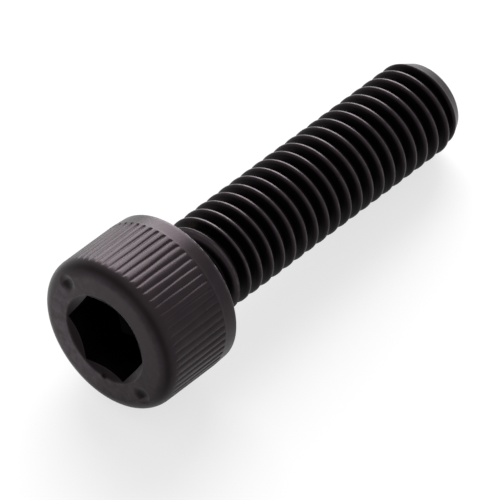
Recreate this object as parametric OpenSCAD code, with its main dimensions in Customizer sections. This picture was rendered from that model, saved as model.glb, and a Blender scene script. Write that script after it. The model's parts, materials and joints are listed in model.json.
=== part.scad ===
// Hex socket head bolt, 6 mm thread by 1 mm pitch, knurled cylindrical head,
// laid down as it rests: the lower edge of the head and the last crest near
// the tip touch the floor at z = 0. The bolt is one solid.
// It is built upright around the z axis, with the bearing face at z = 0,
// the head above it and the thread below it, and then laid along x.

/* [Head] */
// Diameter of the head over its knurled side
head_d = 10; // [9:0.1:12]
// Height of the head above the bearing face
head_h = 6; // [5:0.1:8]
// Radius of the round between the top face and the side
head_edge_r = 0.95; // [0.4:0.05:1.2]
// Height of the plain band between the bearing face and the knurl
band_h = 1.1; // [0.8:0.05:1.6]
// How much the plain band narrows at its lower end, on the radius
band_taper = 0.06; // [0.04:0.01:0.2]
// Width of the bevel around the bearing face
rim_bevel = 0.1; // [0.05:0.01:0.2]
// Diameter of the neck under the head
neck_d = 5; // [4.8:0.1:5.3]
// Radius of the fillet between the bearing face and the neck
fillet_r = 0.5; // [0.2:0.05:0.6]

/* [Knurl] */
// Number of straight grooves around the head
knurl_count = 60; // [48:1:64]
// Depth of a groove
knurl_depth = 0.08; // [0.06:0.01:0.2]
// Width of a groove where it opens
knurl_w = 0.3; // [0.14:0.01:0.36]

/* [Socket] */
// Hex socket size across its flats
socket_af = 5; // [4:0.1:5.4]
// Depth of the socket's straight walls below the top face
socket_depth = 3.2; // [2.5:0.1:4]
// Angle of the cone at the bottom of the socket
socket_cone_deg = 120; // [100:1:150]
// How far the countersink reaches past the socket's corners
countersink_w = 0.1; // [0.05:0.01:0.3]
// Full angle of the countersink
countersink_deg = 120; // [80:1:130]
// Turn of the socket about the bolt's axis
socket_turn = 32; // [0:1:59]

/* [Dimples] */
// Diameter of each of the two dimples in the top face
dimple_d = 1.15; // [0.5:0.05:1.3]
// Depth of a dimple
dimple_depth = 0.15; // [0.05:0.01:0.2]
// Distance of a dimple's middle from the side of the head
dimple_inset = 1.05; // [0.8:0.05:1.2]
// Turn of the pair of dimples about the bolt's axis
dimple_turn = 51; // [0:1:179]

/* [Thread] */
// Nominal diameter of the thread
thread_d = 6; // [5:0.1:6.4]
// Pitch of the thread
thread_pitch = 1; // [0.8:0.05:1.2]
// How much smaller the real thread is than its nominal diameter
thread_allowance = 0.03; // [0:0.01:0.1]
// Length from the bearing face to the tip
bolt_length = 23; // [14:1:36]
// Distance from the bearing face to the start of the groove
thread_start = 1; // [0.9:0.1:2]
// Turns over which the groove reaches its full depth under the head
runout_turns = 0.6; // [0.5:0.1:2]
// Turn of the thread about the bolt's axis
thread_turn = 242; // [0:1:359]

/* [Tip] */
// Length of the taper at the tip
tip_taper_h = 1.05; // [0.6:0.05:1.4]
// Slope of the taper, measured from the axis
tip_taper_deg = 25; // [15:1:35]
// Width of the bevel around the end face
tip_bevel = 0.1; // [0.05:0.01:0.2]

/* [Hidden] */
bolt_colour = "#3b3638";
revolve_steps = 180;
arc_steps = 96;
// Straight steps in each turn of the thread's groove
thread_steps = 24;
// How far a cutting solid stands clear of the surface that it opens
cut_clear = 0.05;

head_r = head_d / 2;
rim_r = head_r - band_taper;
neck_r = neck_d / 2;

// Socket and countersink
socket_corner_r = socket_af / 2 / cos(30);
countersink_r = socket_corner_r + countersink_w;
countersink_h = countersink_r / tan(countersink_deg / 2);
socket_cone_h = socket_corner_r / tan(socket_cone_deg / 2);

// A dimple is a cap of this ball
dimple_ball_r = (pow(dimple_d / 2, 2) + pow(dimple_depth, 2)) / (2 * dimple_depth);

// A 60 degree metric thread: its crest, its root and the groove between
flank_deg = 30;
crest_r = (thread_d - thread_allowance) / 2;
root_r = thread_d / 2 - 0.61343 * thread_pitch;
root_half_w = thread_pitch / 12;
groove_outer_r = crest_r + cut_clear;

// Where the neck swells to the crest, and where the thread ends
swell_from = thread_start + 0.75 * thread_pitch;
swell_to = thread_start + 1.5 * thread_pitch;
taper_from = bolt_length - tip_taper_h;
tip_r = crest_r - tip_taper_h * tan(tip_taper_deg);
groove_end = bolt_length - tip_taper_h / 2;
groove_turns = (groove_end - thread_start) / thread_pitch;
groove_count = floor(groove_turns * thread_steps);
tip_runout_turns = 0.5;

// The bolt rests on its head and on its last full crest
rest_from_knurl = atan((head_r - crest_r) / (band_h + taper_from));
rest_from_rim = atan((rim_r - crest_r) / (rim_bevel + taper_from));
rest_deg = max(rest_from_knurl, rest_from_rim);
axis_lift = crest_r * cos(rest_deg) + taper_from * sin(rest_deg);
head_reach = (head_h - head_edge_r) * cos(rest_deg)
    + (head_r - head_edge_r) * sin(rest_deg) + head_edge_r;
tip_reach_end = bolt_length * cos(rest_deg) + (tip_r - tip_bevel) * sin(rest_deg);
tip_reach_edge = (bolt_length - tip_bevel) * cos(rest_deg) + tip_r * sin(rest_deg);
tip_reach = max(tip_reach_end, tip_reach_edge);

// Radius of the groove's floor after a number of turns: it sinks in from the
// neck under the head, and rises out again on the taper at the tip
function groove_floor(turns) =
    let (sink = min(1, turns / runout_turns),
         rise = max(0, 1 - (groove_turns - turns) / tip_runout_turns))
    root_r + (neck_r - root_r) * (1 - sink) + (crest_r - root_r) * rise;

// Four corners of the groove's section, in the plane through the axis
function groove_section(turns) =
    let (floor_r = groove_floor(turns),
         half_w = root_half_w + (groove_outer_r - floor_r) * tan(flank_deg),
         z = -thread_start - turns * thread_pitch,
         a = -360 * turns)
    [for (corner = [[floor_r, -root_half_w], [floor_r, root_half_w],
                    [groove_outer_r, half_w], [groove_outer_r, -half_w]])
        [corner[0] * cos(a), corner[0] * sin(a), z + corner[1]]];

// Half section of the bolt, for turning about the axis: a straight-sided
// outline, with its top corner rounded off and the fillet hollowed out
module bolt_profile() {
    difference() {
        polygon([[0, head_h],
                 [head_r, head_h],
                 [head_r, band_h],
                 [rim_r, rim_bevel],
                 [rim_r - rim_bevel, 0],
                 [neck_r + fillet_r, 0],
                 [neck_r, -fillet_r],
                 [neck_r, -swell_from],
                 [crest_r, -swell_to],
                 [crest_r, -taper_from],
                 [tip_r, -bolt_length + tip_bevel],
                 [tip_r - tip_bevel, -bolt_length],
                 [0, -bolt_length]]);
        translate([head_r - head_edge_r, head_h - head_edge_r])
            difference() {
                square(head_edge_r + cut_clear);
                circle(r = head_edge_r, $fn = arc_steps);
            }
        translate([neck_r + fillet_r, -fillet_r])
            circle(r = fillet_r, $fn = arc_steps);
    }
}

// One straight groove of the knurl, from the plain band up past the face
module knurl_groove() {
    open_half_w = knurl_w / 2 * (1 + cut_clear / knurl_depth);
    translate([head_r, 0, band_h])
        linear_extrude(height = head_h)
            polygon([[-knurl_depth, 0],
                     [cut_clear, -open_half_w],
                     [cut_clear, open_half_w]]);
}

module knurl() {
    for (i = [0 : knurl_count - 1])
        rotate([0, 0, i * 360 / knurl_count])
            knurl_groove();
}

// Hex socket with its countersink and the cone left at its bottom
module socket() {
    rotate([0, 0, socket_turn]) {
        translate([0, 0, head_h - socket_depth])
            cylinder(r = socket_corner_r, h = socket_depth + cut_clear, $fn = 6);
    }
    intersection() {
        translate([0, 0, head_h - socket_depth - socket_cone_h])
            cylinder(r1 = 0, r2 = socket_corner_r, h = socket_cone_h, $fn = revolve_steps);
        rotate([0, 0, socket_turn])
            translate([0, 0, head_h - socket_depth - socket_cone_h])
                cylinder(r = socket_corner_r, h = socket_cone_h, $fn = 6);
    }
    translate([0, 0, head_h - countersink_h])
        cylinder(r1 = 0, r2 = countersink_r, h = countersink_h, $fn = revolve_steps);
}

// Two shallow punched dimples on a line through the axis
module dimples() {
    for (side = [0, 180])
        rotate([0, 0, dimple_turn + side])
            translate([head_r - dimple_inset, 0, head_h - dimple_depth + dimple_ball_r])
                sphere(r = dimple_ball_r, $fn = arc_steps);
}

// The helical groove between the crests of the thread
module thread_groove() {
    sections = [for (i = [0 : groove_count]) groove_section(i / thread_steps)];
    points = [for (section = sections) for (corner = section) corner];
    last = 4 * groove_count;
    walls = [for (i = [0 : groove_count - 1]) for (j = [0 : 3])
        let (a = 4 * i + j, b = 4 * i + (j + 1) % 4)
        each [[a, b, b + 4], [a, b + 4, a + 4]]];
    ends = [[0, 3, 2], [0, 2, 1], [last, last + 1, last + 2], [last, last + 2, last + 3]];
    rotate([0, 0, thread_turn])
        polyhedron(points = points, faces = concat(walls, ends), convexity = 10);
}

// Turns the upright bolt down onto its rest and centres it over the origin
module laid_down() {
    translate([(head_reach - tip_reach) / 2, 0, axis_lift])
        rotate([0, rest_deg - 90, 0])
            children();
}

module socket_head_bolt() {
    color(bolt_colour)
        laid_down()
            difference() {
                rotate_extrude($fn = revolve_steps)
                    bolt_profile();
                knurl();
                socket();
                dimples();
                thread_groove();
            }
}

socket_head_bolt();
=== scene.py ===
"""Dresses the packed socket head bolt: one fine surface in black oxide, lying on a pale studio floor."""
import json
import math

import bpy
import numpy as np
from bpy.props import FloatProperty, FloatVectorProperty, IntProperty, PointerProperty
from mathutils import Matrix, Vector


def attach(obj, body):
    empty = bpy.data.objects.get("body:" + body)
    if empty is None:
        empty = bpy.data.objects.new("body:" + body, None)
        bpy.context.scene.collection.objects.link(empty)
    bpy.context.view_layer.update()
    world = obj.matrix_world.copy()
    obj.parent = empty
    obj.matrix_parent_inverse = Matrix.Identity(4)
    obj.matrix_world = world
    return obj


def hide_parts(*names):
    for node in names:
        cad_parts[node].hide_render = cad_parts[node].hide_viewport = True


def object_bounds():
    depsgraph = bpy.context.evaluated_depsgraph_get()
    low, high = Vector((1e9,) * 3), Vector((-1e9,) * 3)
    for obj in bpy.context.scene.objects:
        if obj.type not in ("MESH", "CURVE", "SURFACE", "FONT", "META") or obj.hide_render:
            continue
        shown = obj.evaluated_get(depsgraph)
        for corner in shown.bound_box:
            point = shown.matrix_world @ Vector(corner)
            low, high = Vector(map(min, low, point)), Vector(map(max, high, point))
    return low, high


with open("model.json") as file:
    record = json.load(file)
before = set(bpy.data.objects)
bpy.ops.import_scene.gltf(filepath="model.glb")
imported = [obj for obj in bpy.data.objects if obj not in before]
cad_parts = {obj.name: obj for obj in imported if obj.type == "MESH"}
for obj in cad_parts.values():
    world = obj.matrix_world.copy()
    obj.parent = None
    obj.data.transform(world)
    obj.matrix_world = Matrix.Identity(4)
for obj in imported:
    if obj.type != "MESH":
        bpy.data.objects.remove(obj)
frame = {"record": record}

bl_info = {
    "name": "Socket head bolt",
    "version": (1, 0, 0),
    "blender": (4, 5, 0),
    "location": "View3D > Sidebar > Bolt",
    "description": "Makes a knurled socket head bolt in black oxide and a small photo studio around it",
    "category": "Object",
}

CAD_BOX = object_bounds()
NODE = "socket_head_bolt"
BODY = "root"
MM = 0.001

# The bolt lies where the frame's mounts say
MOUNTS = {mount["name"]: mount for mount in frame["record"]["mounts"]}
TOWARDS_TIP = Vector(MOUNTS["bearing_face"]["axis"]).normalized()
FACE_CENTRE = Vector(MOUNTS["hex_socket"]["pos_m"])
HEAD_HEIGHT = (Vector(MOUNTS["bearing_face"]["pos_m"]) - FACE_CENTRE).dot(TOWARDS_TIP)
HEAD_DIAMETER = CAD_BOX[1].y - CAD_BOX[0].y
CREST_RADIUS = MOUNTS["thread"]["dims"]["r_mm"] * MM

# Columns around the shank
SHANK_COLUMNS = 96
# Rows along each turn of the thread
TURN_ROWS = 20
# Rows across the face, around the head's round, down its knurled side and around the fillet
FACE_ROWS = 17
ROUND_ROWS = 18
SIDE_ROWS = 9
FILLET_ROWS = 8
# Distance of a supporting row from a sharp edge, in millimetres
EDGE = 0.025

# Groove values say how dark the colour is made, by thicker oxide and by painted shade: 0 on open surfaces and
# 1 in the thread
# Painted shade at the bottom of the socket, where the hole lies in shade
SOCKET_SHADE = 2.0
# At the bottom of a knurl groove: thicker oxide, partly painted shade that makes the grooves look deeper
KNURL_DEEP = 0.12
# Painted shade on a dark ring halfway around the head's round, where the round turns away from the softbox
RING_SHADE = 0.6
# Painted shade on the countersink, between its edges
SINK_SHADE = 0.7

# Wear-and-sheen values say how far the colour is made lighter: by oxide rubbed off, by painted sheen on one
# side of the face and on the round beside it, and partly by painted highlights along the crests; 0 on
# sheltered surfaces and 1 on a crest of the thread
# On an edge that is rubbed through to bright steel
BARE = 2.0
# On the bevel at the tip
TIP_WEAR = 0.7
# On the countersink's outer edge, and where the plain band meets the knurl
LINE_WEAR = 0.5
# On the head's round where it leaves the face: wear and painted sheen carried on from the face
ROUND_WEAR_AND_SHEEN = 0.4

# How much the knurl grooves differ from each other in depth, as a share of it
KNURL_VARIES = 0.12
# How much of its depth a knurl groove loses on its way to the face, as a share of it
KNURL_FADES = 0.4
# How far a knurl groove strays to its sides, as a share of the distance between two grooves
KNURL_SWAYS = 0.05

# Widths of the small roundings at the dimples, the thread's root and its crest, in millimetres
DIMPLE_BLEND = 0.06
ROOT_BLEND = 0.06
CREST_BLEND = 0.03


def length(name, description, metres):
    """A size in metres that a user can change."""
    return FloatProperty(name=name, description=description, default=metres, unit="LENGTH", precision=5)


def angle(name, description, degrees):
    """An angle that a user can change."""
    return FloatProperty(name=name, description=description, default=math.radians(degrees), subtype="ANGLE")


def colour(name, description, rgb):
    """A colour that a user can change."""
    return FloatVectorProperty(name=name, description=description, default=rgb, subtype="COLOR", min=0, max=1)


def share(name, description, value):
    """A number from 0 to 1 that a user can change."""
    return FloatProperty(name=name, description=description, default=value, min=0, max=1, subtype="FACTOR")


class HeadSizes(bpy.types.PropertyGroup):
    """Sizes of the head, its knurl and its dimples."""

    diameter: length("Head diameter", "Diameter over the knurled side", HEAD_DIAMETER)
    height: length("Head height", "From the bearing face to the top face", HEAD_HEIGHT)
    edge_round: length("Edge round", "Radius between the top face and the side", 0.00095)
    band_height: length("Band height", "Plain band between the bearing face and the knurl", 0.0011)
    band_taper: length("Band taper", "How much the band narrows at its lower end", 0.00006)
    rim_bevel: length("Rim bevel", "Width of the bevel around the bearing face", 0.0001)
    fillet: length("Fillet", "Radius between the bearing face and the neck", 0.0005)
    grooves: IntProperty(name="Grooves", description="Number of grooves in the knurl", default=60, min=12)
    groove_depth: length("Groove depth", "Depth of a knurl groove", 0.00008)
    groove_width: length("Groove width", "Width of a knurl groove where it opens", 0.0003)
    dimple_diameter: length("Dimple diameter", "Diameter of each dimple in the face", 0.00115)
    dimple_depth: length("Dimple depth", "Depth of each dimple", 0.00015)
    dimple_inset: length("Dimple inset", "From a dimple's middle to the side of the head", 0.00105)
    dimple_turn: angle("Dimple turn", "Turn of the pair of dimples about the axis", 51)


class SocketSizes(bpy.types.PropertyGroup):
    """Sizes of the hex socket."""

    across_flats: length("Across flats", "Width of the hex socket across its flats", 0.005)
    depth: length("Depth", "Depth of the straight walls below the top face", 0.0032)
    cone: angle("Cone", "Full angle of the cone at the bottom", 120)
    countersink_width: length("Countersink width", "How far the countersink passes the corners", 0.0001)
    countersink: angle("Countersink", "Full angle of the countersink", 120)
    turn: angle("Turn", "Turn of the hexagon about the axis", 32)


class ThreadSizes(bpy.types.PropertyGroup):
    """Sizes of the shank, its thread and its tip."""

    crest_radius: length("Crest radius", "Radius over the crests", CREST_RADIUS)
    root_radius: length("Root radius", "Radius at the bottom of the groove", 0.0023866)
    neck_radius: length("Neck radius", "Radius of the neck under the head", 0.0025)
    pitch: length("Pitch", "Distance between two turns", 0.001)
    shank_length: length("Shank length", "From the bearing face to the tip", 0.023)
    start: length("Start", "From the bearing face to the start of the groove", 0.001)
    runout_turns: FloatProperty(name="Run-out", description="Turns until the groove is deep", default=0.6)
    turn: angle("Turn", "Turn of the thread about the axis", 242)
    taper_length: length("Taper length", "Length of the taper at the tip", 0.00105)
    taper: angle("Taper", "Slope of the taper, measured from the axis", 25)
    tip_bevel: length("Tip bevel", "Width of the bevel around the end face", 0.0001)


class OxideLook(bpy.types.PropertyGroup):
    """Colours and gloss of the black oxide, and the colours of its painted shade and sheen."""

    oxide: colour("Oxide", "Colour of the black oxide", (0.026, 0.0205, 0.0232))
    # Thicker oxide, also used as painted shade in the thread's grooves, the knurl, the countersink and on the
    # head's round
    groove_oxide_and_shade: colour("Groove oxide", "Colour of the thick oxide in the grooves", (0.0052, 0.0042, 0.0047))
    # Painted shade: the socket's bottom and walls get this near-black colour for the shade in the hole
    socket_shade: colour("Socket oxide", "Colour of the sooty bottom of the socket", (0.003, 0.0024, 0.0026))
    # Also the colour of the painted sheen on one side of the face and the round beside it, and partly of
    # painted highlights along the crests
    pale_tint: colour("Worn edge", "Colour of the rubbed crests and edges", (0.062, 0.052, 0.058))
    bare: colour("Bare edge", "Colour of the steel where an edge is rubbed through", (0.3, 0.28, 0.29))
    stain: colour("Stain", "Colour of the brownish oil stain", (0.035, 0.024, 0.018))
    roughness: share("Roughness", "Roughness of the satin oxide", 0.38)


class StudioSizes(bpy.types.PropertyGroup):
    """Camera, lamp and floor of the studio."""

    azimuth: angle("Azimuth", "Where the camera stands around the bolt", -48.73)
    elevation: angle("Elevation", "How far above the floor the camera stands", 47.27)
    distance: length("Distance", "From the camera to the point it aims at", 0.3874)
    aim: FloatVectorProperty(name="Aim", description="Point that the camera aims at",
                             default=(-0.00423, -0.00226, 0.00641), unit="LENGTH", precision=5)
    lens: FloatProperty(name="Lens", description="Focal length in millimetres", default=480)
    lamp_azimuth: angle("Lamp azimuth", "Direction of the softbox around the bolt", 132)
    lamp_elevation: angle("Lamp elevation", "Height of the softbox above the floor", 33)
    lamp_distance: length("Lamp distance", "From the bolt to the softbox", 0.6)
    lamp_width: length("Lamp width", "Width of the softbox", 0.48)
    lamp_height: length("Lamp height", "Height of the softbox", 0.6)
    lamp_radiance: FloatProperty(name="Lamp radiance", description="Brightness of the softbox", default=7.6)
    sky: FloatProperty(name="Fill", description="Even light from all around", default=0.45)
    floor_colour: colour("Floor colour", "Colour of the pale floor", (0.94, 0.94, 0.94))
    floor_glow: share("Floor glow", "How far the floor shows plain white to the camera", 0.7)
    floor_shine: share("Floor shine", "How far reflections show the floor plain white", 0.42)
    floor_size: length("Floor size", "Width of the floor", 6)


def smooth_step(value, low, high):
    """Rises from 0 at low to 1 at high, as three squares less two cubes."""
    t = np.clip((value - low) / (high - low), 0, 1)
    return t * t * (3 - 2 * t)


def soft_min(first, second, blend):
    """The lower of two values. Where they are closer than the blend, the square of what is missing is
    taken off, over four blends, which rounds the edge between them."""
    near = np.clip(blend - np.abs(first - second), 0, None)
    return np.minimum(first, second) - near * near / (4 * blend)


def supported(count, edge_share):
    """Shares up to 1 in even steps, with a supporting row near each end. 0 itself is left out."""
    inner = np.linspace(0, 1, count + 1)[1:-1]
    return np.concatenate([[edge_share], inner, [1 - edge_share, 1]])


def hexagon(angles, across_flats, turn):
    """Distance from the axis to a side: half the width across flats over the cosine of the angle
    from the middle of that side."""
    sixth = math.pi / 3
    from_middle = (angles - turn) % sixth - sixth / 2
    return across_flats / 2 / np.cos(from_middle)


class Rows:
    """Rings of points from one pole of the bolt towards the other, each as arrays over the columns."""

    def __init__(self, columns):
        self.columns = columns
        self.parts = []

    def add(self, radius, height, angles, groove=0.0, wear=0.0):
        """Adds rings. Each value is an array of rows by columns, or spreads to one."""
        rows = max(np.atleast_2d(value).shape[0] for value in (radius, height, angles, groove, wear))
        whole = (rows, self.columns)
        self.parts.append([np.broadcast_to(value, whole) for value in (radius, height, angles, groove, wear)])

    def joined(self):
        """All rings as five arrays: radius, height, angle, groove and wear-and-sheen."""
        return [np.concatenate(part) for part in zip(*self.parts)]


def knurl_angles(head):
    """Angles of the columns around the knurled side. They run clockwise, eight to a groove: its
    bottom, two on each flank, its shoulders and the middle of the land."""
    pitch = 2 * math.pi / head.grooves
    shoulder = head.groove_width / head.diameter / pitch
    flank = shoulder * np.array([0, 1 / 3, 2 / 3, 1])
    places = np.concatenate([flank, [0.5], 1 - flank[:0:-1]])
    return -((np.arange(head.grooves)[:, None] + places) * pitch).ravel()


def knurl_floor(head, angles, height):
    """Radius of the knurled side: the head's radius less half a wave of a cosine at each groove. The
    grooves get shallower towards the face and differ a little from each other."""
    radius = head.diameter / 2
    pitch = 2 * math.pi / head.grooves
    number = np.round(angles / pitch)
    across = np.abs(angles - number * pitch) * radius
    varied = 1 + KNURL_VARIES * np.sin(number * 2.4) * np.sin(number * 0.7 + 1)
    fading = 1 - KNURL_FADES * smooth_step(height, head.band_height, head.height)
    aside = np.clip(across / (head.groove_width / 2), 0, 1)
    return radius - head.groove_depth * varied * fading * (1 + np.cos(math.pi * aside)) / 2


def knurl_sway(head, angles, height):
    """How far the knurl grooves stray around the axis: a slow wave along each one, which differs from
    groove to groove and dies out at both ends."""
    pitch = 2 * math.pi / head.grooves
    number = np.round(angles / pitch)
    along = (height - head.band_height) / (head.height - head.band_height)
    ends = np.clip(4 * along * (1 - along), 0, 1)
    return KNURL_SWAYS * pitch * ends * np.sin(5 * along + 2.4 * number)


def dimpled(head, radius, angles, height):
    """Height of the face after the two dimples: the lower of the face and a ball's underside."""
    ball = ((head.dimple_diameter / 2) ** 2 + head.dimple_depth ** 2) / (2 * head.dimple_depth)
    for turn in (head.dimple_turn, head.dimple_turn + math.pi):
        x = radius * np.cos(angles) - (head.diameter / 2 - head.dimple_inset) * math.cos(turn)
        y = radius * np.sin(angles) - (head.diameter / 2 - head.dimple_inset) * math.sin(turn)
        reach = np.clip(ball ** 2 - x ** 2 - y ** 2, 0, None)
        underside = head.height - head.dimple_depth + ball - np.sqrt(reach)
        height = soft_min(height, underside, DIMPLE_BLEND * MM)
    return height


def socket_rows(rows, head, socket, angles):
    """The cone at the bottom of the socket, its six walls and the countersink."""
    corner = socket.across_flats / 2 / math.cos(math.pi / 6)
    hexed = hexagon(angles, socket.across_flats, socket.turn)
    cone_slope = math.tan(socket.cone / 2)
    floor = head.height - socket.depth
    sink_radius = corner + socket.countersink_width
    sink_slope = math.tan(socket.countersink / 2)

    def cone_height(radius):
        return floor - (corner - radius) / cone_slope

    def sink_height(radius):
        return head.height - (sink_radius - radius) / sink_slope

    # Painted shade: the cone at the bottom of the socket is darkest, and the walls darken down towards it
    out = supported(4, edge_share=0.02)[:, None]
    rows.add(out * hexed, cone_height(out * hexed), angles, groove=SOCKET_SHADE)
    up = supported(6, edge_share=0.01)[:, None]
    foot = cone_height(hexed)
    rows.add(hexed, foot + up * (sink_height(hexed) - foot), angles, groove=SOCKET_SHADE * (1 - up))
    across = supported(4, edge_share=0.08)[:, None]
    sunk = hexed + across * (sink_radius - hexed)
    worn_width = 0.05 * MM
    pale_tint = np.exp(-((sunk - sink_radius) / worn_width) ** 2)
    # Painted shade on the countersink at the mouth of the socket; only its outer edge is made lighter
    rows.add(sunk, sink_height(sunk), angles, groove=SINK_SHADE * (1 - pale_tint), wear=LINE_WEAR * pale_tint)
    return sink_radius


def face_rows(rows, head, inner_radius, inner_angles, outer_angles):
    """The flat face, from the countersink to the round, with its dimples."""
    flat_radius = head.diameter / 2 - head.edge_round
    out = np.linspace(0, 1, FACE_ROWS + 1)[1:, None]
    out = np.concatenate([[[EDGE * MM / (flat_radius - inner_radius)]], out])
    radius = inner_radius + out * (flat_radius - inner_radius)
    angles = inner_angles + out * (outer_angles - inner_angles)
    height = dimpled(head, radius, angles, head.height)
    sunk = (head.height - height) / head.dimple_depth
    # Painted sheen: the face is lighter on the side of one dimple, as a slightly crowned face would catch
    # more of the softbox there, over the wear it has all around
    sheen_side = math.radians(130)
    rubbed_and_sheen = 0.5 + 0.4 * np.cos(angles - sheen_side)
    rows.add(radius, height, angles, groove=sunk, wear=rubbed_and_sheen * (1 - np.clip(2 * sunk, 0, 1)))


def round_rows(rows, head, angles):
    """The quarter circle from the face to the side, cut into by the dimples and the knurl."""
    arc = np.linspace(0, math.pi / 2, ROUND_ROWS + 1)[1:, None]
    radius = head.diameter / 2 - head.edge_round * (1 - np.sin(arc))
    height = head.height - head.edge_round * (1 - np.cos(arc))
    height = dimpled(head, radius, angles, height)
    cut = np.minimum(radius, knurl_floor(head, angles, height))
    # Where the ring of painted shade lies along the arc, how wide it is, and how far the face's wear and
    # painted sheen reach
    ring_at, ring_width, wear_and_sheen_reach = 0.75, 0.25, 0.35
    ring_shade = RING_SHADE * np.exp(-((arc - ring_at) / ring_width) ** 2)
    groove = ring_shade + KNURL_DEEP * (radius - cut) / head.groove_depth
    rubbed_and_sheen = ROUND_WEAR_AND_SHEEN * np.exp(-(arc / wear_and_sheen_reach) ** 2)
    rows.add(cut, height, angles + knurl_sway(head, angles, height), groove=groove, wear=rubbed_and_sheen)


def side_rows(rows, head, angles):
    """The knurled side, the end of its grooves, the plain band and the bevel at the rim."""
    side = head.diameter / 2
    end_run = 0.1 * MM
    top = head.height - head.edge_round
    down = np.linspace(0, 1, SIDE_ROWS + 1)[1:, None]
    height = top + down * (head.band_height + end_run - top)
    floor = knurl_floor(head, angles, height)
    swayed = angles + knurl_sway(head, angles, height)
    rows.add(floor, height, swayed, groove=KNURL_DEEP * (side - floor) / head.groove_depth)
    # The grooves rise to the band in three steps
    ending = np.array([0.35, 0.7, 1])[:, None]
    height = head.band_height + end_run * (1 - ending)
    depth = (side - knurl_floor(head, angles, height)) * (1 - ending)
    rows.add(side - depth, height, angles, groove=KNURL_DEEP * depth / head.groove_depth)
    rim = side - head.band_taper
    down = supported(5, edge_share=0.03)[:, None]
    # Both edges of the band are rubbed, over these shares of its height
    upper_share, lower_share = 0.06, 0.03
    pale_tint = LINE_WEAR * np.exp(-down / upper_share) + BARE * np.exp(-(1 - down) / lower_share)
    height = head.band_height + down * (head.rim_bevel - head.band_height)
    rows.add(side - down * head.band_taper, height, angles, wear=pale_tint)
    across = np.array([0.2, 0.5, 0.8, 1])[:, None]
    rows.add(rim - across * head.rim_bevel, head.rim_bevel * (1 - across), angles, wear=BARE * (1 - across))
    # Two rings on the bearing face, just inside the bevel
    under = np.array([EDGE, 0.3])[:, None] * MM
    rows.add(rim - head.rim_bevel - under, 0.0, angles)


def head_rows(head, socket):
    """Every ring of the head, from the bottom of the socket to the bearing face."""
    outer_angles = knurl_angles(head)
    step = 2 * math.pi / len(outer_angles)
    even = -np.arange(len(outer_angles)) * step
    # One column meets each corner of the hexagon
    inner_angles = even + (socket.turn + step / 2) % step - step / 2
    rows = Rows(len(outer_angles))
    sink_radius = socket_rows(rows, head, socket, inner_angles)
    face_rows(rows, head, sink_radius, inner_angles, outer_angles)
    round_rows(rows, head, outer_angles)
    side_rows(rows, head, outer_angles)
    return rows.joined()


def fillet_rows(head, thread, angles):
    """The bearing face near the neck, and the quarter circle down to the neck."""
    rows = Rows(len(angles))
    hollow = thread.neck_radius + head.fillet
    around = np.array([0.9, 0.2])[:, None] * MM
    rows.add(hollow + around, 0.0, angles)
    arc = np.linspace(0, math.pi / 2, FILLET_ROWS)[:, None]
    rows.add(hollow - head.fillet * np.sin(arc), -head.fillet * (1 - np.cos(arc)), angles)
    return rows.joined()


def tip_rows(thread, angles):
    """The bevel around the end face, and the end face itself."""
    rows = Rows(len(angles))
    edge = tip_radius(thread)
    down = np.array([0.25, 0.6, 1])[:, None]
    height = thread.tip_bevel * (1 - down) - thread.shank_length
    rows.add(edge - down * thread.tip_bevel, height, angles, wear=TIP_WEAR)
    inward = np.array([0.98, 0.7, 0.35])[:, None]
    rows.add((edge - thread.tip_bevel) * inward, -thread.shank_length, angles)
    return rows.joined()


def tip_radius(thread):
    """Radius at the end of the taper."""
    return thread.crest_radius - thread.taper_length * math.tan(thread.taper)


def blank_radius(thread, depth):
    """Radius of the shank before its groove, by the depth below the bearing face: the neck, a swell
    up to the crest, the straight shank and the taper at the tip."""
    swell_from = thread.start + 0.75 * thread.pitch
    swell_to = thread.start + 1.5 * thread.pitch
    taper_from = thread.shank_length - thread.taper_length
    taper_to = thread.shank_length - thread.tip_bevel
    return np.interp(depth, [swell_from, swell_to, taper_from, taper_to],
                     [thread.neck_radius, thread.crest_radius, thread.crest_radius, tip_radius(thread)])


def groove_floor(thread, turns):
    """Radius of the groove's floor after a number of turns: it sinks in from the neck and rises out
    again on the taper."""
    last_turn = (thread.shank_length - thread.taper_length / 2 - thread.start) / thread.pitch
    tip_runout = 0.5
    sink = np.clip(turns / thread.runout_turns, 0, 1)
    rise = np.clip(1 - (last_turn - turns) / tip_runout, 0, None)
    lift = (thread.neck_radius - thread.root_radius) * (1 - sink)
    return thread.root_radius + lift + (thread.crest_radius - thread.root_radius) * rise


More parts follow.
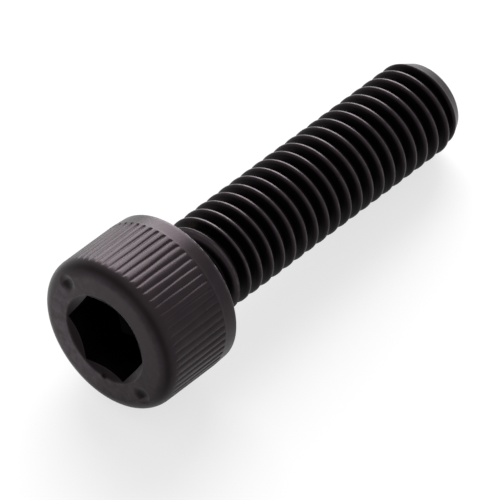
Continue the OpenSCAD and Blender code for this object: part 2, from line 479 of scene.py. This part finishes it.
def thread_surface(thread):
    """The thread as rows that follow its helix. A row keeps its place in the section while it goes
    once around and down by one pitch, and joins the row that starts one turn further on. The radius
    is the lower of the blank and the groove, whose flanks rise at 60 degrees from a flat root."""
    start_turn = thread.turn / (2 * math.pi)
    first = math.floor((-thread.start / thread.pitch - start_turn - 1) * TURN_ROWS)
    last = math.ceil((thread.shank_length / thread.pitch - start_turn) * TURN_ROWS)
    steps = np.arange(first, last + 1) / TURN_ROWS
    # Rows are closer at the crests and roots, by a sine of two waves a turn
    crowding = 0.6
    place = steps - crowding * np.sin(4 * math.pi * steps) / (4 * math.pi)
    around = np.arange(SHANK_COLUMNS) / SHANK_COLUMNS
    turns = start_turn + place[:, None] + around
    depth = thread.start + thread.pitch * turns
    groove_turns = start_turn + around + np.round(place)[:, None]
    aside = np.abs(place - np.round(place))[:, None] * thread.pitch
    root_half = thread.pitch / 12
    flank = (aside - root_half) / math.tan(math.pi / 6)
    flank = -soft_min(-flank, 0 * flank, ROOT_BLEND * MM)
    groove = groove_floor(thread, groove_turns) + flank
    blank = blank_radius(thread, depth)
    radius = soft_min(blank, groove, CREST_BLEND * MM)
    full = thread.crest_radius - thread.root_radius
    sunk = np.clip((blank - radius) / full, 0, 1)
    beside_crest = 0.5 - aside / thread.pitch
    # Crests are made lighter over a narrow line, from the first one on: partly rubbed oxide, partly a painted
    # highlight along each crest
    crest_line_share, crest_line_depth = 0.04, 0.05
    wear = np.exp(-(beside_crest / crest_line_share) ** 2 - sunk / crest_line_depth)
    crest_line_from, crest_line_to = thread.start + 0.5 * thread.pitch, thread.start + 1.3 * thread.pitch
    wear = wear * smooth_step(depth, crest_line_from, crest_line_to)
    angles = np.broadcast_to(-2 * math.pi * around, depth.shape)
    # Darker in the grooves: partly thicker oxide, partly painted shade on the flanks
    return radius, -depth, angles, smooth_step(sunk, 0, 0.25), wear


def ring_faces(above, below):
    """Two triangles for each pair of columns between two rows of vertex numbers."""
    a, b = above, np.roll(above, -1, axis=-1)
    d, c = below, np.roll(below, -1, axis=-1)
    return np.concatenate([np.stack([a, b, c], -1).reshape(-1, 3), np.stack([a, c, d], -1).reshape(-1, 3)])


def pole_faces(ring, pole, pole_is_above):
    """A fan of triangles from a ring to one vertex."""
    after = np.roll(ring, -1)
    pole = np.full(len(ring), pole)
    return np.stack([pole, after, ring] if pole_is_above else [ring, after, pole], -1)


def stitch_faces(above, below):
    """Triangles from a ring to one with a whole fraction of its columns."""
    each = len(above) // len(below)
    half = (each + 1) // 2
    after = np.roll(above, -1)
    nearest = np.concatenate([np.repeat(below[:, None], half, 1),
                              np.repeat(np.roll(below, -1)[:, None], each - half, 1)], 1).ravel()
    wide = np.stack([above, after, nearest], -1)
    narrow = np.stack([above[half::each], np.roll(below, -1), below], -1)
    return np.concatenate([wide, narrow])


def helix_faces(numbers):
    """Triangles of the helical rows. The last column joins the first one a turn further on, and
    triangles that have shrunk to nothing at the two end rings are left out."""
    wrapped = np.concatenate([numbers[TURN_ROWS:, 0], np.repeat(numbers[-1, 0], TURN_ROWS)])
    wide = np.concatenate([numbers, wrapped[:, None]], 1)
    a, b, c, d = wide[:-1, :-1], wide[:-1, 1:], wide[1:, 1:], wide[1:, :-1]
    faces = np.concatenate([np.stack([a, b, c], -1).reshape(-1, 3), np.stack([a, c, d], -1).reshape(-1, 3)])
    whole = (faces[:, 0] != faces[:, 1]) & (faces[:, 1] != faces[:, 2]) & (faces[:, 2] != faces[:, 0])
    return faces[whole]


def end_ring(thread, angles):
    """The ring at the end of the taper, with the values of a row."""
    height = thread.tip_bevel - thread.shank_length
    return [np.broadcast_to(value, (1, len(angles))) for value in
            (tip_radius(thread), height, angles, 0.0, TIP_WEAR)]


def thread_ends(head, thread, height):
    """Which of the thread's points lie past the neck's last ring, and which past the ring at the end of
    the taper. A point that is very close to a ring counts as past it."""
    close = 0.35 * thread.pitch / TURN_ROWS
    past_neck = height > -head.fillet - close
    past_taper = height < thread.tip_bevel - thread.shank_length + close
    return past_neck, past_taper


def pole_points(head, socket, thread):
    """The deepest point of the socket's cone, and the middle of the end face."""
    corner = socket.across_flats / 2 / math.cos(math.pi / 6)
    cone_height = corner / math.tan(socket.cone / 2)
    return np.array([[0, 0, head.height - socket.depth - cone_height], [0, 0, -thread.shank_length]])


def bolt_surface(head, socket, thread):
    """The whole bolt as one closed surface: its points around the z axis, their groove and wear-and-sheen
    values, and its triangles. Thread points past an end ring become points of that ring."""
    shank_angles = -np.arange(SHANK_COLUMNS) * 2 * math.pi / SHANK_COLUMNS
    thread_part = thread_surface(thread)
    past_neck, past_taper = thread_ends(head, thread, thread_part[1])
    kept = ~(past_neck | past_taper)
    parts = [
        head_rows(head, socket),
        fillet_rows(head, thread, shank_angles),
        [value[kept][None] for value in thread_part],
        end_ring(thread, shank_angles),
        tip_rows(thread, shank_angles),
    ]
    joined = [np.concatenate([row.ravel() for row in rows]) for rows in zip(*parts)]
    radius, height, angles, groove, wear = joined
    points = np.stack([radius * np.cos(angles), radius * np.sin(angles), height], -1)

    starts = np.cumsum([0] + [part[0].size for part in parts])
    head_numbers, fillet_numbers, kept_numbers, end_numbers, tip_numbers = [
        start + np.arange(part[0].size).reshape(part[0].shape) for start, part in zip(starts, parts)]
    thread_numbers = np.zeros(kept.shape, int)
    thread_numbers[kept] = kept_numbers[0]
    thread_numbers = np.where(past_neck, fillet_numbers[-1], thread_numbers)
    thread_numbers = np.where(past_taper, end_numbers[0], thread_numbers)
    bottom_pole = len(points)
    tip_pole = bottom_pole + 1
    faces = np.concatenate([
        pole_faces(head_numbers[0], bottom_pole, True),
        ring_faces(head_numbers[:-1], head_numbers[1:]),
        stitch_faces(head_numbers[-1], fillet_numbers[0]),
        ring_faces(fillet_numbers[:-1], fillet_numbers[1:]),
        helix_faces(thread_numbers),
        ring_faces(end_numbers, tip_numbers[:1]),
        ring_faces(tip_numbers[:-1], tip_numbers[1:]),
        pole_faces(tip_numbers[-1], tip_pole, False),
    ])
    points = np.concatenate([points, pole_points(head, socket, thread)])
    return points, np.append(groove, [0, 0]), np.append(wear, [0, 0]), faces


def laid_down(points, head_height):
    """Moves points from the bolt's own axes to where the frame holds it: z towards the head, y across."""
    up = -np.array(TOWARDS_TIP)
    across = np.array([0.0, 1.0, 0.0])
    bearing_centre = np.array(FACE_CENTRE) + head_height * np.array(TOWARDS_TIP)
    return points @ np.stack([np.cross(across, up), across, up]) + bearing_centre


def on_bolt(radius, degrees, height):
    """A place on the bolt in the scene's axes, all in millimetres, from its distance to the bolt's
    axis, its angle around it and its height above the bearing face."""
    turn = math.radians(degrees)
    own = np.array([[radius * math.cos(turn), radius * math.sin(turn), height]])
    return tuple(laid_down(own * MM, HEAD_HEIGHT)[0] / MM)


def mesh_object(name, points, faces):
    """A smooth mesh object at the origin, from arrays of points and triangles."""
    mesh = bpy.data.meshes.new(name)
    mesh.vertices.add(len(points))
    mesh.vertices.foreach_set("co", points.astype(np.float32).ravel())
    mesh.loops.add(faces.size)
    mesh.loops.foreach_set("vertex_index", faces.astype(np.int32).ravel())
    mesh.polygons.add(len(faces))
    mesh.polygons.foreach_set("loop_start", np.arange(len(faces), dtype=np.int32) * faces.shape[1])
    mesh.polygons.foreach_set("use_smooth", np.ones(len(faces), bool))
    mesh.update(calc_edges=True)
    if mesh.validate():
        raise RuntimeError(name + " has faces that are not valid")
    made = bpy.data.objects.new(name, mesh)
    bpy.context.scene.collection.objects.link(made)
    return made


def point_values(made, name, values):
    """Stores one number for each point of a mesh, for its material to read."""
    made.data.attributes.new(name, "FLOAT", "POINT").data.foreach_set("value", values.astype(np.float32))


class Nodes:
    """Short forms for adding and joining the nodes of one material."""

    def __init__(self, tree):
        self.tree = tree
        self.tree.nodes.clear()

    def add(self, kind, inputs=None, **settings):
        """Adds a node, sets its settings, and sets or joins its inputs."""
        node = self.tree.nodes.new(kind)
        for name, value in settings.items():
            setattr(node, name, value)
        for name, value in (inputs or {}).items():
            if isinstance(value, bpy.types.NodeSocket):
                self.tree.links.new(value, node.inputs[name])
            else:
                node.inputs[name].default_value = value
        return node

    def maths(self, operation, first, second):
        """One Math node's value."""
        return self.add("ShaderNodeMath", {0: first, 1: second}, operation=operation).outputs[0]

    def mixed(self, factor, first, second):
        """A colour between two colours."""
        mix = self.add("ShaderNodeMix", {"Factor": factor}, data_type="RGBA")
        for slot, value in ((6, first), (7, second)):
            if isinstance(value, bpy.types.NodeSocket):
                self.tree.links.new(value, mix.inputs[slot])
            else:
                mix.inputs[slot].default_value = value
        return mix.outputs[2]

    def noise(self, place, scale, detail, roughness=0.5):
        """A noise value at a scale in waves to a millimetre."""
        return self.add("ShaderNodeTexNoise", {"Vector": place, "Scale": scale, "Detail": detail,
                                               "Roughness": roughness}).outputs["Fac"]

    def ranged(self, value, low, high, to_low, to_high):
        """A value moved from one range to another and held inside it."""
        return self.add("ShaderNodeMapRange", {"Value": value, "From Min": low, "From Max": high,
                                               "To Min": to_low, "To Max": to_high}).outputs[0]


def mark(nodes, place, centre, size):
    """1 inside a mark's core and 0 past its size, in millimetres."""
    core = 0.4 * size
    away = nodes.add("ShaderNodeVectorMath", {0: place, 1: centre}, operation="DISTANCE").outputs["Value"]
    return nodes.ranged(away, core, size, 1, 0)


def marked(nodes, look, place, base):
    """The oxide's colour with three marks: an oily stain beside the first crest, a nick in the rim that
    shows bare steel, and a sooty speck on the countersink."""
    stain = mark(nodes, place, on_bolt(radius=2.75, degrees=27, height=-2.5), size=0.6)
    blotchy = nodes.ranged(nodes.noise(place, scale=5, detail=3), 0.4, 0.6, 0, 0.8)
    base = nodes.mixed(nodes.maths("MULTIPLY", stain, blotchy), base, (*look.stain, 1))
    nick = mark(nodes, place, on_bolt(radius=4.88, degrees=-38, height=0.07), size=0.09)
    base = nodes.mixed(nick, base, (*look.bare, 1))
    speck = mark(nodes, place, on_bolt(radius=2.95, degrees=-178, height=5.97), size=0.25)
    return nodes.mixed(speck, base, (*look.groove_oxide_and_shade, 1))


def oxide_shade_and_wear(nodes, look, patches):
    """The oxide's colour by how thick it is and how far it is rubbed off, which goes patch by patch, with
    painted shade in the socket, on the countersink, on the head's round and partly in the grooves, and
    painted sheen on the face.
    """
    groove = nodes.add("ShaderNodeAttribute", attribute_name="groove").outputs["Fac"]
    wear = nodes.add("ShaderNodeAttribute", attribute_name="wear").outputs["Fac"]
    # Darker by the groove value: thicker oxide, and painted shade in the grooves, on the countersink and on
    # the head's round
    base = nodes.mixed(nodes.ranged(groove, 0, 1, 0, 1), (*look.oxide, 1), (*look.groove_oxide_and_shade, 1))
    # Painted shade in the socket, for groove values from 1 up
    base = nodes.mixed(nodes.ranged(groove, 1, SOCKET_SHADE, 0, 1), base, (*look.socket_shade, 1))
    # Lighter by the wear-and-sheen value: rubbed crests and edges, painted sheen on the face and round,
    # partly painted highlights on the crests
    rubbed_and_sheen = nodes.maths("MULTIPLY", wear, nodes.ranged(patches, 0.35, 0.65, 0.35, 1))
    base = nodes.mixed(rubbed_and_sheen, base, (*look.pale_tint, 1))
    return nodes.mixed(nodes.ranged(rubbed_and_sheen, 1, BARE, 0, 1), base, (*look.bare, 1))


def oxide_material(look):
    """Black oxide over steel: satin, darker in the grooves by thicker oxide and partly painted shade, painted
    darkest in the shaded socket, rubbed lighter on crests and edges, with a painted sheen on one side of the
    face.
    """
    material = bpy.data.materials.new("black_oxide_steel")
    material.use_nodes = True
    nodes = Nodes(material.node_tree)
    place = nodes.add("ShaderNodeMapping", {"Vector": nodes.add("ShaderNodeTexCoord").outputs["Object"],
                                            "Scale": (1 / MM, 1 / MM, 1 / MM)}).outputs[0]
    cloud = nodes.noise(place, scale=0.9, detail=3)
    grain = nodes.noise(place, scale=9, detail=4, roughness=0.6)
    patches = nodes.noise(place, scale=2.6, detail=2)
    base = marked(nodes, look, place, oxide_shade_and_wear(nodes, look, patches))
    tone = nodes.ranged(cloud, 0.3, 0.7, 0.9, 1.1)
    toned = nodes.add("ShaderNodeVectorMath", {0: base, "Scale": tone}, operation="SCALE").outputs[0]
    rough = nodes.maths("ADD", nodes.ranged(grain, 0.25, 0.75, -0.05, 0.05),
                        nodes.ranged(cloud, 0.3, 0.7, look.roughness - 0.03, look.roughness + 0.03))
    bump = nodes.add("ShaderNodeBump", {"Height": nodes.maths("ADD", grain, patches), "Strength": 0.35,
                                        "Distance": 0.004 * MM}).outputs[0]
    surface = nodes.add("ShaderNodeBsdfPrincipled", {"Base Color": toned, "Roughness": rough, "Normal": bump,
                                                     "Metallic": 1.0}).outputs[0]
    nodes.add("ShaderNodeOutputMaterial", {"Surface": surface})
    return material


def ray_kinds(nodes):
    """Two values that are 1 for some rays: for those of the camera, also through glass, and for those
    that a shiny surface reflects."""
    path = nodes.add("ShaderNodeLightPath").outputs
    direct = nodes.maths("MAXIMUM", path["Is Camera Ray"], path["Is Transmission Ray"])
    return direct, path["Is Glossy Ray"]


def floor_material(studio):
    """Pale paper, part of which shows as plain white, so that the shadow on it stays light. Reflections
    show less of that white, so that the lower side of the bolt stays dark."""
    material = bpy.data.materials.new("pale_floor")
    material.use_nodes = True
    nodes = Nodes(material.node_tree)
    paper = nodes.add("ShaderNodeBsdfPrincipled", {"Base Color": (*studio.floor_colour, 1), "Roughness": 0.9,
                                                   "Specular IOR Level": 0.1}).outputs[0]
    white = nodes.add("ShaderNodeEmission", {"Color": (1, 1, 1, 1), "Strength": 1}).outputs[0]
    direct, reflected = ray_kinds(nodes)
    glow = nodes.maths("MAXIMUM", nodes.maths("MULTIPLY", direct, studio.floor_glow),
                       nodes.maths("MULTIPLY", reflected, studio.floor_shine))
    surface = nodes.add("ShaderNodeMixShader", {0: glow, 1: paper, 2: white}).outputs[0]
    nodes.add("ShaderNodeOutputMaterial", {"Surface": surface})
    return material


def studio_sky(studio):
    """An even fill for surfaces, and plain white where the camera or a reflection looks past the floor."""
    world = bpy.data.worlds.new("studio")
    world.use_nodes = True
    nodes = Nodes(world.node_tree)
    direct, reflected = ray_kinds(nodes)
    strength = nodes.ranged(nodes.maths("MAXIMUM", direct, reflected), 0, 1, studio.sky, 1)
    light = nodes.add("ShaderNodeBackground", {"Color": (1, 1, 1, 1), "Strength": strength}).outputs[0]
    nodes.add("ShaderNodeOutputWorld", {"Surface": light})
    bpy.context.scene.world = world


def direction(azimuth, elevation):
    """Unit vector from the bolt to something at an azimuth and elevation. Azimuth 0 is towards -y."""
    flat = math.cos(elevation)
    return Vector((math.sin(azimuth) * flat, -math.cos(azimuth) * flat, math.sin(elevation)))


def aimed(made, place, aim):
    """Puts a camera or lamp at a place and points it at another, with its own x level."""
    turned = (aim - place).to_track_quat("-Z", "Y").to_matrix().to_4x4()
    made.matrix_world = Matrix.Translation(place) @ turned
    bpy.context.scene.collection.objects.link(made)


def studio_camera(studio):
    """The long lens that the photograph's perspective fits."""
    camera = bpy.data.objects.new("camera", bpy.data.cameras.new("camera"))
    camera.data.lens = studio.lens
    camera.data.clip_start = 0.01
    aim = Vector(studio.aim)
    aimed(camera, aim + studio.distance * direction(studio.azimuth, studio.elevation), aim)
    bpy.context.scene.camera = camera


def studio_lamp(studio):
    """A softbox behind the bolt. Its power is its brightness times its area times pi."""
    lamp = bpy.data.lights.new("softbox", "AREA")
    lamp.shape = "RECTANGLE"
    lamp.size = studio.lamp_width
    lamp.size_y = studio.lamp_height
    lamp.energy = studio.lamp_radiance * studio.lamp_width * studio.lamp_height * math.pi
    softbox = bpy.data.objects.new("softbox", lamp)
    softbox.visible_camera = False
    aimed(softbox, studio.lamp_distance * direction(studio.lamp_azimuth, studio.lamp_elevation), Vector())


class BOLT_OT_bolt(bpy.types.Operator):
    """Make the bolt as one closed surface with its black oxide finish"""

    bl_idname = "object.black_bolt"
    bl_label = "Socket head bolt"

    def execute(self, context):
        scene = context.scene
        points, groove, wear, faces = bolt_surface(scene.bolt_head, scene.bolt_socket, scene.bolt_thread)
        bolt = mesh_object("black_bolt", laid_down(points, scene.bolt_head.height), faces)
        point_values(bolt, "groove", groove)
        point_values(bolt, "wear", wear)
        bolt.data.materials.append(oxide_material(scene.bolt_look))
        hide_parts(NODE)
        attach(bolt, BODY)
        return {"FINISHED"}


class BOLT_OT_studio(bpy.types.Operator):
    """Make the pale floor, the soft light and the camera"""

    bl_idname = "scene.bolt_studio"
    bl_label = "Photo studio"

    def execute(self, context):
        studio = context.scene.bolt_studio
        half = studio.floor_size / 2
        corners = np.array([[-half, -half, 0], [half, -half, 0], [half, half, 0], [-half, half, 0]])
        floor = mesh_object("floor", corners, np.array([[0, 1, 2, 3]]))
        floor.data.materials.append(floor_material(studio))
        studio_sky(studio)
        studio_lamp(studio)
        studio_camera(studio)
        context.scene.view_settings.view_transform = "Standard"
        return {"FINISHED"}


class BOLT_PT_sidebar(bpy.types.Panel):
    """Lists the bolt's sizes, its finish and the studio"""

    bl_idname = "BOLT_PT_sidebar"
    bl_label = "Socket head bolt"
    bl_space_type = "VIEW_3D"
    bl_region_type = "UI"
    bl_category = "Bolt"

    def draw(self, context):
        for operator in OPERATORS:
            self.layout.operator(operator.bl_idname)
        for name, group in SETTINGS.items():
            box = self.layout.box()
            box.label(text=group.__doc__)
            for size in group.__annotations__:
                box.prop(getattr(context.scene, name), size)


OPERATORS = (BOLT_OT_bolt, BOLT_OT_studio)
SETTINGS = {
    "bolt_head": HeadSizes,
    "bolt_socket": SocketSizes,
    "bolt_thread": ThreadSizes,
    "bolt_look": OxideLook,
    "bolt_studio": StudioSizes,
}


def register():
    for made in (*SETTINGS.values(), *OPERATORS, BOLT_PT_sidebar):
        bpy.utils.register_class(made)
    for name, group in SETTINGS.items():
        setattr(bpy.types.Scene, name, PointerProperty(type=group))


def unregister():
    for name in SETTINGS:
        delattr(bpy.types.Scene, name)
    for made in (BOLT_PT_sidebar, *OPERATORS, *SETTINGS.values()):
        bpy.utils.unregister_class(made)


def main():
    """Makes the whole scene."""
    register()
    bpy.ops.object.black_bolt()
    bpy.ops.scene.bolt_studio()


if __name__ == "__main__":
    main()
